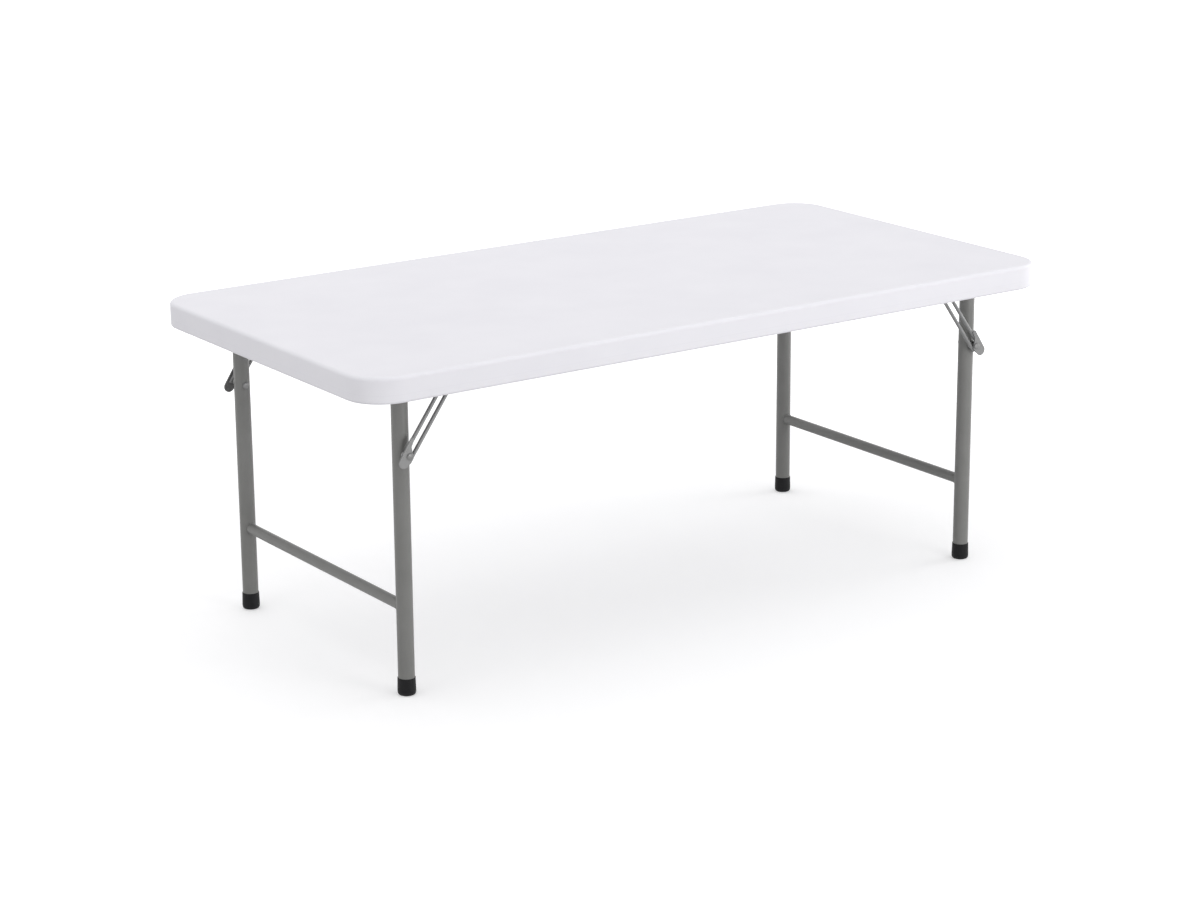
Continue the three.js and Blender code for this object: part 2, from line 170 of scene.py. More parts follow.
grain = add(tree, "ShaderNodeTexVoronoi", {"Vector": place, "Scale": 1 / (1.6 * mm)})
ripple = add(tree, "ShaderNodeTexNoise", {"Vector": place, "Scale": 1 / 0.045, "Detail": 2})
pebble = add(
    tree, "ShaderNodeBump",
    {"Strength": 0.25, "Distance": 0.05 * mm, "Height": grain.outputs["Distance"]},
)
waves = add(
    tree, "ShaderNodeBump",
    {
        "Strength": 0.35, "Distance": 0.35 * mm, "Height": ripple.outputs["Fac"],
        "Normal": pebble.outputs[0],
    },
)
gloss = add(tree, "ShaderNodeMapRange", {0: cloud.outputs["Fac"], 3: 0.56, 4: 0.68})
skin = add(
    tree, "ShaderNodeBsdfPrincipled",
    {
        "Base Color": lined.outputs[2], "Roughness": gloss.outputs[0],
        "Normal": waves.outputs[0], "IOR": 1.54, "Specular IOR Level": 0.25,
    },
)
add(tree, "ShaderNodeOutputMaterial", {"Surface": skin.outputs[0]})

# The outline is a rectangle with its corners rounded, raised to the depth of the rim.
top = bmesh.new()
bmesh.ops.create_grid(top, x_segments=1, y_segments=1, size=0.5)
bmesh.ops.scale(top, vec=(top_high.x - top_low.x, top_high.y - top_low.y, 1), verts=top.verts)
bmesh.ops.translate(top, vec=(0, 0, top_low.z), verts=top.verts)
bmesh.ops.bevel(
    top, geom=top.verts[:], affect="VERTICES", offset=corner_radius, offset_type="OFFSET",
    segments=16, profile=0.5, material=-1,
)
slab(top, (0, 0, top_high.z - top_low.z))

# The recess is sunk into the lower face, inside the rim.
under = min(top.faces, key=lambda face: face.calc_center_median().z)
bmesh.ops.inset_region(top, faces=[under], thickness=rim_width, use_even_offset=True)
bmesh.ops.inset_region(
    top, faces=[under], thickness=recess_draft, depth=top_low.z - ceiling, use_even_offset=True,
)


def outer(middle):
    """True on the outer side of the rim."""
    reach = Vector((top_high.x, top_high.y)) - Vector((abs(middle.x), abs(middle.y)))
    return min(reach) < 0.85 * rim_width


def at_foot(middle):
    """True at the foot of the rim."""
    return middle.z < top_low.z + mm


round_over(top, upper_round, 7, lambda middle: middle.z > top_high.z - mm)
round_over(top, skirt_foot_round, 4, lambda middle: at_foot(middle) and outer(middle))
round_over(top, recess_mouth_round, 3, lambda middle: at_foot(middle) and not outer(middle))
round_over(top, ceiling_round, 3, lambda middle: abs(middle.z - ceiling) < mm)

# The ceiling is filled again with a round mouth for each cone, and the cones are drawn up.
lid = max(
    (face for face in top.faces if abs(face.calc_center_median().z - ceiling) < 0.1 * mm),
    key=lambda face: face.calc_area(),
)
rim_of_lid = lid.edges[:]
bmesh.ops.delete(top, geom=[lid], context="FACES_ONLY")
mouths = []
for column in range(cone_columns):
    for row in range(cone_rows):
        middle = Vector((
            (column - (cone_columns - 1) / 2) * cone_pitch_x,
            (row - (cone_rows - 1) / 2) * cone_pitch_y,
            ceiling,
        ))
        ring = bmesh.ops.create_circle(
            top, segments=28, radius=cone_mouth, matrix=Matrix.Translation(middle)
        )
        mouths.append((middle, list({edge for vert in ring["verts"] for edge in vert.link_edges})))
bmesh.ops.triangle_fill(
    top, use_beauty=True, normal=(0, 0, -1),
    edges=rim_of_lid + [edge for _, edges in mouths for edge in edges],
)
for middle, edges in mouths:
    radius, depth = cone_mouth / mm, 0
    for next_radius, next_depth in cone_steps:
        grown = bmesh.ops.extrude_edge_only(top, edges=edges)
        verts = new_vertices(grown)
        edges = [edge for edge in grown["geom"] if isinstance(edge, bmesh.types.BMEdge)]
        bmesh.ops.scale(
            top, vec=(next_radius / radius, next_radius / radius, 1),
            space=Matrix.Translation(-middle), verts=verts,
        )
        bmesh.ops.translate(top, vec=(0, 0, (next_depth - depth) * mm), verts=verts)
        radius, depth = next_radius, next_depth
    bmesh.ops.edgeloop_fill(top, edges=edges)

top_piece = made("moulded_top", top, polyethylene)
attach(top_piece, "tabletop")
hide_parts("tabletop")

# ---------------------------------------------------------------------------
# Hinge saddles: black glass-filled nylon blocks, injection moulded, screwed up into
# the recess. Each carries one end of a hinge tube in a plain round bore.
# ---------------------------------------------------------------------------

ends = {"left": -1, "right": 1}
sides = {"near": -1, "far": 1}
leg_low, leg_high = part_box("leg_right_far")
tube_low, tube_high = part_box("hinge_tube_right")
hinge_x = (leg_low.x + leg_high.x) / 2
leg_y = (leg_low.y + leg_high.y) / 2
leg_radius = (leg_high.x - leg_low.x) / 2
hinge_z = (tube_low.z + tube_high.z) / 2
tube_radius = (tube_high.z - tube_low.z) / 2
saddle_reach = (saddle_high.x - saddle_low.x) / 2
saddle_width = saddle_high.y - saddle_low.y
cup_radius = tube_radius + 4.5 * mm
bore_radius = tube_radius + 0.4 * mm
foot_thickness = 4 * mm
foot_corner_round = 3.2 * mm
moulded_edge_round = 0.5 * mm


def outline(form, start, *moves):
    """Draws a closed outline in the XZ plane: straight to a point, or round a centre by degrees.

    The closing edge comes last, so a turn that ends an outline may stop one step short.
    """
    first = last = form.verts.new((start[0], 0, start[1]))
    for move in moves:
        if isinstance(move[0], tuple):
            (x, z), degrees = move
            swept = bmesh.ops.spin(
                form, geom=[last], cent=(x, 0, z), axis=(0, -1, 0), dvec=(0, 0, 0),
                angle=math.radians(degrees), steps=max(3, round(abs(degrees) / 7.5)),
            )
            last = swept["geom_last"][0]
        else:
            last = bmesh.ops.extrude_vert_indiv(form, verts=[last])["verts"][0]
            last.co = (move[0], 0, move[1])
    form.edges.new((last, first))


def fill(form):
    """Fills the outlines drawn so far, leaving the inner ones open."""
    edges = [edge for edge in form.edges if edge.is_wire]
    bmesh.ops.triangle_fill(form, use_beauty=True, edges=edges, normal=(0, 1, 0))


def corner_place(form, end, side):
    """Moves a form from the corner's own place (X inward and Y outward from a leg) to its leg."""
    across = Matrix.Diagonal((-ends[end], sides[side], 1, 1))
    bmesh.ops.transform(form, matrix=across, verts=form.verts)
    bmesh.ops.translate(
        form, vec=(ends[end] * hinge_x, sides[side] * leg_y, 0), verts=form.verts
    )
    return form


# Glass-filled nylon: near black and matt, with the faint flow streaks of its fibres, about
# 3 mm wide and four times as long. The mould's spark-eroded texture of 0.3 mm is drawn at
# 0.8 mm so that it shows.
nylon, tree = blank("glass_filled_nylon_black")
place = add(tree, "ShaderNodeTexCoord").outputs["Object"]
flow = add(tree, "ShaderNodeMapping", {"Vector": place, "Scale": (1, 0.25, 1)})
streaks = add(tree, "ShaderNodeTexNoise", {"Vector": flow.outputs[0], "Scale": 330, "Detail": 4})
tint = add(
    tree, "ShaderNodeMix",
    {0: streaks.outputs["Fac"], 6: linear("#232326"), 7: linear("#343437")}, data_type="RGBA",
)
spark = add(tree, "ShaderNodeTexNoise", {"Vector": place, "Scale": 1 / (0.8 * mm), "Detail": 2})
relief = add(
    tree, "ShaderNodeBump",
    {"Strength": 0.3, "Distance": 0.06 * mm, "Height": spark.outputs["Fac"]},
)
dull = add(tree, "ShaderNodeMapRange", {0: streaks.outputs["Fac"], 3: 0.52, 4: 0.68})
body = add(
    tree, "ShaderNodeBsdfPrincipled",
    {
        "Base Color": tint.outputs[2], "Roughness": dull.outputs[0],
        "Normal": relief.outputs[0], "IOR": 1.53,
    },
)
add(tree, "ShaderNodeOutputMaterial", {"Surface": body.outputs[0]})

for end in ends:
    for side in sides:
        saddle_low, saddle_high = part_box(f"hinge_saddle_{end}_{side}")
        foot_z = saddle_high.z - foot_thickness
        saddle = bmesh.new()
        outline(
            saddle, (cup_radius, foot_z), (saddle_reach, foot_z), (saddle_reach, saddle_high.z),
            (-saddle_reach, saddle_high.z), (-saddle_reach, foot_z), (-cup_radius, foot_z),
            (-cup_radius, hinge_z), ((0, hinge_z), 180),
        )
        outline(saddle, (bore_radius, hinge_z), ((0, hinge_z), 352.5))
        fill(saddle)
        slab(saddle, (0, saddle_width, 0))
        round_over(
            saddle, foot_corner_round, 4,
            lambda middle: abs(middle.x) > saddle_reach - 0.1 * mm
            and foot_z + 0.1 * mm < middle.z < saddle_high.z - 0.1 * mm,
        )
        round_over(saddle, moulded_edge_round, 2, sharper_than=50)
        centre = (saddle_low + saddle_high) / 2
        bmesh.ops.translate(
            saddle, vec=(centre.x, centre.y - saddle_width / 2, 0), verts=saddle.verts
        )
        piece = made(f"saddle_block_{end}_{side}", saddle, nylon)
        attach(piece, "tabletop")
        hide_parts(f"hinge_saddle_{end}_{side}")

# ---------------------------------------------------------------------------
# Guide plates: angles of sheet steel, stamped, bent and powder coated with the frames,
# screwed up beside the legs. A curved slot leads the brace's pin as the leg frame folds.
# ---------------------------------------------------------------------------

# The linkage: the height of a brace's rivet, the brace's angle to the floor with the table
# open and folded, and its length from the rivet to the guide pin.
pivot_z = 352 * mm
brace_angle = math.radians(54.4)
folded_angle = math.radians(3.0026)
brace_length = 125.999 * mm
pivot_arm = hinge_z - pivot_z
sheet_thickness = 1.8 * mm
bend_radius = 2.6 * mm
web_inside = 27.9 * mm
slot_half = 2.9 * mm
web_edge = 7.9 * mm
sheet_edge_round = 0.25 * mm
slot_steps = 28


def pin_place(turned):
    """Where the guide pin is, in the corner's own place, with the frame folded by a share."""
    swing = turned * math.pi / 2
    tilt = brace_angle + turned * (folded_angle - brace_angle)
    return Vector((
        pivot_arm * math.sin(swing) + brace_length * math.cos(tilt),
        hinge_z - pivot_arm * math.cos(swing) + brace_length * math.sin(tilt),
    ))


def beside_path(distance):
    """Places along the pin's path, moved below it by a distance."""
    places = []
    for step in range(slot_steps + 1):
        before = pin_place(max(step - 1, 0) / slot_steps)
        after = pin_place(min(step + 1, slot_steps) / slot_steps)
        along = (after - before).normalized()
        here = pin_place(step / slot_steps)
        places.append((here.x + along.y * distance, here.y - along.x * distance))
    return places


# Satin grey powder coat over steel: an even neutral grey with a faint orange-peel of about 2 mm
# and fine flecks. It is a little smoother where hands and packing have rubbed it.
powder, tree = blank("grey_powder_coat")
place = add(tree, "ShaderNodeTexCoord").outputs["Object"]
drift = add(tree, "ShaderNodeTexNoise", {"Vector": place, "Scale": 1 / 0.05, "Detail": 3})
flecks = add(tree, "ShaderNodeTexNoise", {"Vector": place, "Scale": 1 / (0.9 * mm), "Detail": 1})
mixed = add(
    tree, "ShaderNodeMath",
    {0: flecks.outputs["Fac"], 1: 0.5, 2: drift.outputs["Fac"]}, operation="MULTIPLY_ADD",
)
share = add(tree, "ShaderNodeMapRange", {0: mixed.outputs[0], 1: 0.45, 2: 1.05})
paint = add(
    tree, "ShaderNodeMix",
    {0: share.outputs[0], 6: linear("#757573"), 7: linear("#7f7f7d")}, data_type="RGBA",
)
peel = add(tree, "ShaderNodeTexNoise", {"Vector": place, "Scale": 1 / (2 * mm), "Detail": 1})
skinned = add(
    tree, "ShaderNodeBump",
    {"Strength": 0.2, "Distance": 0.06 * mm, "Height": peel.outputs["Fac"]},
)
rubbed = add(tree, "ShaderNodeMapRange", {0: drift.outputs["Fac"], 3: 0.36, 4: 0.48})
coat = add(
    tree, "ShaderNodeBsdfPrincipled",
    {
        "Base Color": paint.outputs[2], "Roughness": rubbed.outputs[0],
        "Normal": skinned.outputs[0], "IOR": 1.5, "Specular IOR Level": 0.4,
    },
)
add(tree, "ShaderNodeOutputMaterial", {"Surface": coat.outputs[0]})

for end in ends:
    for side in sides:
        guide_low, guide_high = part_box(f"guide_plate_{end}_{side}")
        bend_z = guide_high.z - bend_radius
        start, finish = pin_place(0), pin_place(1)
        web_start, web_end = start.x - web_edge, finish.x + web_edge
        guide = bmesh.new()
        outline(
            guide, (web_end, bend_z), (web_start, bend_z), (web_start, start.y),
            *beside_path(web_edge), (web_end, finish.y),
        )
        lower, upper = beside_path(slot_half), beside_path(-slot_half)[::-1]
        outline(
            guide, lower[0], *lower[1:], (tuple(finish), 180), *upper[1:], (tuple(start), 172.5)
        )
        fill(guide)
        fold = [
            edge for edge in guide.edges
            if all(abs(vert.co.z - bend_z) < 0.01 * mm for vert in edge.verts)
        ]
        swept = bmesh.ops.spin(
            guide, geom=fold + list({vert for edge in fold for vert in edge.verts}),
            cent=(0, bend_radius, bend_z), axis=(1, 0, 0), dvec=(0, 0, 0),
            angle=-math.pi / 2, steps=5,
        )
        last = [edge for edge in swept["geom_last"] if isinstance(edge, bmesh.types.BMEdge)]
        flange = bmesh.ops.extrude_edge_only(guide, edges=last)
        for vert in new_vertices(flange):
            vert.co.y = guide_high.y - guide_low.y
        bmesh.ops.recalc_face_normals(guide, faces=guide.faces)
        if sum(face.normal.y * face.calc_area() for face in guide.faces) > 0:
            bmesh.ops.reverse_faces(guide, faces=guide.faces)
        bmesh.ops.solidify(guide, geom=guide.faces[:], thickness=sheet_thickness)
        bmesh.ops.recalc_face_normals(guide, faces=guide.faces)
        round_over(guide, sheet_edge_round, 2, sharper_than=60)
        bmesh.ops.translate(guide, vec=(0, web_inside, 0), verts=guide.verts)
        piece = made(f"guide_angle_{end}_{side}", corner_place(guide, end, side), powder)
        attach(piece, "tabletop")
        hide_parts(f"guide_plate_{end}_{side}")

# ---------------------------------------------------------------------------
# Screws: zinc-plated pan heads with a cross recess, cold headed, driven up through the
# saddles and guide plates into the lower skin of the top.
# ---------------------------------------------------------------------------

screw_head_radius = 4.2 * mm
screw_shank_radius = 2 * mm
screw_dome = 1.6 * mm
screw_side = 1.0 * mm
screw_point = 2 * mm
cross_depth = 1.3 * mm
cross_taper = 0.72
head_squares = 12
# Half the width of the cross's arms and their length, as shares of the head's radius.
cross_arm, cross_reach = 1 / 6, 2 / 3


def turned(form, profile, steps=40):
    """Turns a profile of (radius, height) round the Z axis, closed where it is off the axis."""
    verts = [form.verts.new((radius, 0, height)) for radius, height in profile]
    edges = [form.edges.new(pair) for pair in zip(verts, verts[1:])]
    if profile[0][0] > 0:
        edges.append(form.edges.new((verts[-1], verts[0])))
    bmesh.ops.spin(
        form, geom=verts + edges, cent=(0, 0, 0), axis=(0, 0, 1), dvec=(0, 0, 0),
        angle=2 * math.pi, steps=steps, use_merge=True,
    )
    bmesh.ops.remove_doubles(form, verts=form.verts, dist=0.0005 * mm)
    bmesh.ops.recalc_face_normals(form, faces=form.faces)


def join(form, other):
    """Adds another form to a form."""
    spare = bpy.data.meshes.new("spare")
    other.to_mesh(spare)
    other.free()
    form.from_mesh(spare)
    bpy.data.meshes.remove(spare)


# Bright zinc plate over cold-headed steel: a soft grey metal with the fine lines of the die,
# 0.2 mm apart, drawn at 0.7 mm so that they show, and cloudy passivation patches about 3 mm
# across.
zinc, tree = blank("zinc_plated_steel")
place = add(tree, "ShaderNodeTexCoord").outputs["Object"]
patches = add(tree, "ShaderNodeTexNoise", {"Vector": place, "Scale": 1 / 0.003, "Detail": 4})
tone = add(
    tree, "ShaderNodeMix",
    {0: patches.outputs["Fac"], 6: linear("#9c9c98"), 7: linear("#b4b5b6")}, data_type="RGBA",
)
drawn = add(tree, "ShaderNodeMapping", {"Vector": place, "Scale": (0.05, 1, 1)})
lines = add(
    tree, "ShaderNodeTexNoise", {"Vector": drawn.outputs[0], "Scale": 1 / (0.7 * mm), "Detail": 2}
)
scored = add(
    tree, "ShaderNodeBump",
    {"Strength": 0.25, "Distance": 0.03 * mm, "Height": lines.outputs["Fac"]},
)
sheen = add(tree, "ShaderNodeMapRange", {0: patches.outputs["Fac"], 3: 0.34, 4: 0.5})
plate = add(
    tree, "ShaderNodeBsdfPrincipled",
    {
        "Base Color": tone.outputs[2], "Metallic": 1.0, "Roughness": sheen.outputs[0],
        "Normal": scored.outputs[0],
    },
)
add(tree, "ShaderNodeOutputMaterial", {"Surface": plate.outputs[0]})

for end in ends:
    for side in sides:
        for use in ("saddle", "guide"):
            for row in ("outer", "inner"):
                node = f"{use}_screw_{row}_{end}_{side}"
                screw_low, screw_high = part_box(node)
                screw = bmesh.new()
                bmesh.ops.create_grid(
                    screw, x_segments=head_squares, y_segments=head_squares, size=1
                )
                cross = []
                for face in screw.faces:
                    centre = face.calc_center_median()
                    if (
                        min(abs(centre.x), abs(centre.y)) < cross_arm
                        and max(abs(centre.x), abs(centre.y)) < cross_reach
                    ):
                        cross.append(face)
                for vert in screw.verts:
                    x, y = vert.co.x, vert.co.y
                    disc = Vector((x * math.sqrt(1 - y * y / 2), y * math.sqrt(1 - x * x / 2)))
                    fall = screw_dome * disc.length_squared
                    vert.co = (disc.x * screw_head_radius, disc.y * screw_head_radius, fall)
                rim = [edge for edge in screw.edges if edge.is_boundary]
                sunk = bmesh.ops.extrude_face_region(screw, geom=cross)
                bmesh.ops.delete(screw, geom=cross, context="FACES_ONLY")
                verts = new_vertices(sunk)
                bmesh.ops.translate(screw, vec=(0, 0, cross_depth), verts=verts)
                bmesh.ops.scale(screw, vec=(cross_taper, cross_taper, 1), verts=verts)
                wall = bmesh.ops.extrude_edge_only(screw, edges=rim)
                bmesh.ops.translate(screw, vec=(0, 0, screw_side), verts=new_vertices(wall))
                bmesh.ops.edgeloop_fill(
                    screw,
                    edges=[edge for edge in wall["geom"] if isinstance(edge, bmesh.types.BMEdge)],
                )
                shank = bmesh.new()
                length = screw_high.z - screw_low.z
                turned(
                    shank,
                    [(0, screw_dome + screw_side), (screw_shank_radius, screw_dome + screw_side),
                     (screw_shank_radius, length - screw_point), (0, length)],
                    16,
                )
                join(screw, shank)
                centre = (screw_low + screw_high) / 2
                bmesh.ops.translate(
                    screw, vec=(centre.x, centre.y, screw_low.z), verts=screw.verts
                )
                piece = made(f"{use}_pan_screw_{row}_{end}_{side}", screw, zinc)
                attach(piece, "tabletop")
                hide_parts(node)

# ---------------------------------------------------------------------------
# Hinge tubes: welded steel pipe, powder coated grey with the leg frames. Each joins the
# heads of two legs and turns in the saddles.
# ---------------------------------------------------------------------------

pipe_wall = 1.2 * mm
pipe_end_round = 0.3 * mm

for end in ends:
    tube_low, tube_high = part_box(f"hinge_tube_{end}")
    length = tube_high.y - tube_low.y
    tube = bmesh.new()
    turned(
        tube,
        [(tube_radius, 0), (tube_radius, length), (tube_radius - pipe_wall, length),
         (tube_radius - pipe_wall, 0)],
        56,
    )
    round_over(tube, pipe_end_round, 2, sharper_than=60)
    bmesh.ops.rotate(tube, matrix=Matrix.Rotation(-math.pi / 2, 3, "X"), verts=tube.verts)
    centre = (tube_low + tube_high) / 2
    bmesh.ops.translate(tube, vec=(centre.x, tube_low.y, centre.z), verts=tube.verts)
    piece = made(f"hinge_pipe_{end}", tube, powder)
    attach(piece, f"{end}_leg_frame")
    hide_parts(f"hinge_tube_{end}")

# ---------------------------------------------------------------------------
# Legs: straight welded steel pipe, powder coated grey. The head of each is coped to the
# hinge tube and welded round, and the foot stands in a plastic cap.
# ---------------------------------------------------------------------------

bead_radius = 1.3 * mm
bead_ripples = 24
bead_ripple = 0.16  # as a share of the bead's radius
bead_sunk = 0.2 * mm
cope_gap = 0.3 * mm


def weld_bead(form, radius, seam):
    """Lays a rippled bead round the Z axis, its height at each place given by the seam."""
    bead = bmesh.new()
    ring = bmesh.ops.create_circle(
        bead, segments=8, radius=bead_radius,
        matrix=Matrix.Translation((radius, 0, 0)) @ Matrix.Rotation(math.pi / 2, 4, "X"),
    )
    bmesh.ops.spin(
        bead, geom=ring["verts"] + bead.edges[:], cent=(0, 0, 0), axis=(0, 0, 1), dvec=(0, 0, 0),
        angle=2 * math.pi, steps=96, use_merge=True,
    )
    for vert in bead.verts:
        out = Vector((vert.co.x, vert.co.y, 0)).normalized() * radius
        ripple = 1 + bead_ripple * math.cos(bead_ripples * math.atan2(out.y, out.x))
        vert.co = out + (vert.co - out) * ripple + Vector((0, 0, seam(out.x)))
    join(form, bead)


def leg_head(x):
    """Height of the leg's coped head at a distance from the middle of the hinge tube."""
    cope = tube_radius + cope_gap
    return min(leg_high.z, hinge_z - math.sqrt(max(cope * cope - x * x, 0)))


for end in ends:
    for side in sides:
        leg_low, leg_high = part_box(f"leg_{end}_{side}")
        leg = bmesh.new()
        turned(
            leg,
            [(leg_radius, leg_low.z), (leg_radius, leg_high.z),
             (leg_radius - pipe_wall, leg_high.z), (leg_radius - pipe_wall, leg_low.z)],
            64,
        )
        for vert in leg.verts:
            if vert.co.z > leg_high.z - mm:
                vert.co.z = leg_head(vert.co.x)
        weld_bead(leg, leg_radius - bead_sunk, leg_head)
        piece = made(f"leg_pipe_{end}_{side}", corner_place(leg, end, side), powder)
        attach(piece, f"{end}_leg_frame")
        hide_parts(f"leg_{end}_{side}")

# ---------------------------------------------------------------------------
# Crossbars: thinner welded steel pipe in the same grey coat, coped to the two legs of a
# frame and welded round at each end.
# ---------------------------------------------------------------------------

bar_wall = 1 * mm


def bar_end(x):
    """How far the crossbar stops short of the middle of the leg."""
    cope = leg_radius + cope_gap
    return math.sqrt(max(cope * cope - x * x, 0))


for end in ends:
    bar_low, bar_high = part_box(f"crossbar_{end}")
    bar_radius = (bar_high.x - bar_low.x) / 2
    centre = (bar_low + bar_high) / 2
    bar = bmesh.new()
    turned(
        bar,
        [(bar_radius, -leg_y), (bar_radius, 0), (bar_radius, leg_y), (bar_radius - bar_wall, leg_y),
         (bar_radius - bar_wall, 0), (bar_radius - bar_wall, -leg_y)],
        48,
    )
    for vert in bar.verts:
        if abs(vert.co.z) > leg_y / 2:
            vert.co.z = math.copysign(leg_y - bar_end(vert.co.x), vert.co.z)
    for sign in (-1, 1):
        weld_bead(bar, bar_radius, lambda x: sign * (leg_y - bar_end(x) - 2 * bead_sunk))
    bmesh.ops.rotate(bar, matrix=Matrix.Rotation(-math.pi / 2, 3, "X"), verts=bar.verts)
    bmesh.ops.translate(bar, vec=(centre.x, 0, centre.z), verts=bar.verts)
    piece = made(f"cross_pipe_{end}", bar, powder)
    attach(piece, f"{end}_leg_frame")
    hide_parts(f"crossbar_{end}")

# ---------------------------------------------------------------------------
# Foot caps: black polypropylene cups, injection moulded and pushed over the legs' feet.
# They taper to a thin lip at the top and are rounded where they stand on the floor.
# ---------------------------------------------------------------------------

cap_floor = 5 * mm
cap_bore = leg_radius + 0.15 * mm
scuffed_height = 6 * mm

# Moulded polypropylene: soft black with a dull skin. Fine moulded texture of 0.4 mm is drawn at
# 1 mm so that it shows, and the foot is scuffed greyer and rougher over its lowest 6 mm.
cap_plastic, tree = blank("moulded_polypropylene_black")
place = add(tree, "ShaderNodeTexCoord").outputs["Object"]
height = add(tree, "ShaderNodeSeparateXYZ", {0: place})
scuff = add(tree, "ShaderNodeTexNoise", {"Vector": place, "Scale": 1 / 0.003, "Detail": 5})
low = add(tree, "ShaderNodeMapRange", {0: height.outputs["Z"], 1: scuffed_height, 2: 0.0})
worn = add(
    tree, "ShaderNodeMath", {0: low.outputs[0], 1: scuff.outputs["Fac"]}, operation="MULTIPLY"
)
black = add(
    tree, "ShaderNodeMix",
    {0: worn.outputs[0], 6: linear("#141416"), 7: linear("#3a3a3b")}, data_type="RGBA",
)
texture = add(tree, "ShaderNodeTexNoise", {"Vector": place, "Scale": 1 / mm, "Detail": 2})
relief = add(
    tree, "ShaderNodeBump",
    {"Strength": 0.25, "Distance": 0.05 * mm, "Height": texture.outputs["Fac"]},
)
dull = add(tree, "ShaderNodeMapRange", {0: worn.outputs[0], 3: 0.5, 4: 0.75})
body = add(
    tree, "ShaderNodeBsdfPrincipled",
    {
        "Base Color": black.outputs[2], "Roughness": dull.outputs[0],
        "Normal": relief.outputs[0], "IOR": 1.49, "Specular IOR Level": 0.2,
    },
)
add(tree, "ShaderNodeOutputMaterial", {"Surface": body.outputs[0]})

for end in ends:
    for side in sides:
        cap_low, cap_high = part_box(f"foot_cap_{end}_{side}")
        cap_radius = (cap_high.x - cap_low.x) / 2
        cap = bmesh.new()
        turned(
            cap,
            [(0, 0.6 * mm), (cap_radius - 5.2 * mm, 0.6 * mm), (cap_radius - 4.6 * mm, 0),
             (cap_radius - 3.4 * mm, 0), (cap_radius - 1.2 * mm, 1.1 * mm),
             (cap_radius - 0.25 * mm, 3.2 * mm), (cap_radius, 5.5 * mm), (cap_radius, 9 * mm),
             (cap_radius - 0.3 * mm, 18 * mm), (cap_radius - 0.45 * mm, cap_high.z - 0.5 * mm),
             (cap_radius - 0.75 * mm, cap_high.z), (cap_bore, cap_high.z), (cap_bore, cap_floor),
             (0, cap_floor)],
            64,
        )
        round_over(
            cap, moulded_edge_round, 3, lambda middle: middle.z < cap_floor, sharper_than=20
        )
        piece = made(f"foot_cup_{end}_{side}", corner_place(cap, end, side), cap_plastic)
        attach(piece, f"{end}_leg_frame")
        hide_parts(f"foot_cap_{end}_{side}")

# ---------------------------------------------------------------------------
# Braces: a thick steel wire bent double and a stamped plate with a thumb tab, welded
# together and coated grey. A rivet holds each one to its leg over a spacer, and a pin in
# the bend runs in the slot of the guide plate.
# ---------------------------------------------------------------------------

# Places called inside and outside, and the rod's layer, are measured outward from the
# middle of the leg, along the rivet.
rod_radius = 2.75 * mm
rod_spacing = 12.8 * mm
rod_tail = 6 * mm
rod_layer = 19.95 * mm
rod_end_round = 0.6 * mm
latch_inside = 23 * mm
latch_thickness = 2 * mm
latch_bore = 2.8 * mm
latch_edge_round = 0.45 * mm
spacer_radius = 6.5 * mm
spacer_inside, spacer_outside = 12.2 * mm, 16.8 * mm
rivet_radius = 2.5 * mm
rivet_inside, rivet_outside = -12.2 * mm, 25.3 * mm
rivet_head_side = 0.7 * mm
rivet_head_rise = 1.3 * mm
pin_radius = 2.5 * mm
pin_inside, pin_outside = 15.3 * mm, 31.6 * mm
pin_head = 1.6 * mm
sleeve_radius = 3.35 * mm
sleeve_inside, sleeve_outside = 16.9 * mm, 27.6 * mm
head_radius = 5 * mm
turned_edge_round = 0.5 * mm


def about_rivet(form):
    """Moves a form from the brace's own place (X along it, Z across) to the corner's."""
    bmesh.ops.rotate(form, matrix=Matrix.Rotation(-brace_angle, 3, "Y"), verts=form.verts)
    bmesh.ops.translate(form, vec=(0, 0, pivot_z), verts=form.verts)
    return form


def outward(form):
    """Turns a form made round the Z axis to stand outward from the leg, at the rivet's height."""
    bmesh.ops.rotate(form, matrix=Matrix.Rotation(-math.pi / 2, 3, "X"), verts=form.verts)
    bmesh.ops.translate(form, vec=(0, 0, pivot_z), verts=form.verts)
    return form


# Satin grey paint on drawn wire and plate: a cooler, slightly more metallic grey than the
# frames, with a steel grain of about 1 mm just showing through.
brace_paint, tree = blank("satin_grey_painted_steel")
place = add(tree, "ShaderNodeTexCoord").outputs["Object"]
drift = add(tree, "ShaderNodeTexNoise", {"Vector": place, "Scale": 1 / 0.02, "Detail": 4})
paint = add(
    tree, "ShaderNodeMix",
    {0: drift.outputs["Fac"], 6: linear("#7f7f7f"), 7: linear("#8b8b8b")}, data_type="RGBA",
)
grain = add(tree, "ShaderNodeTexNoise", {"Vector": place, "Scale": 1 / mm, "Detail": 2})
raised = add(
    tree, "ShaderNodeBump",
    {"Strength": 0.2, "Distance": 0.04 * mm, "Height": grain.outputs["Fac"]},
)
sheen = add(tree, "ShaderNodeMapRange", {0: drift.outputs["Fac"], 3: 0.34, 4: 0.46})
coat = add(
    tree, "ShaderNodeBsdfPrincipled",
    {
        "Base Color": paint.outputs[2], "Metallic": 0.3, "Roughness": sheen.outputs[0],
        "Normal": raised.outputs[0], "Specular IOR Level": 0.3,
    },
)
add(tree, "ShaderNodeOutputMaterial", {"Surface": coat.outputs[0]})

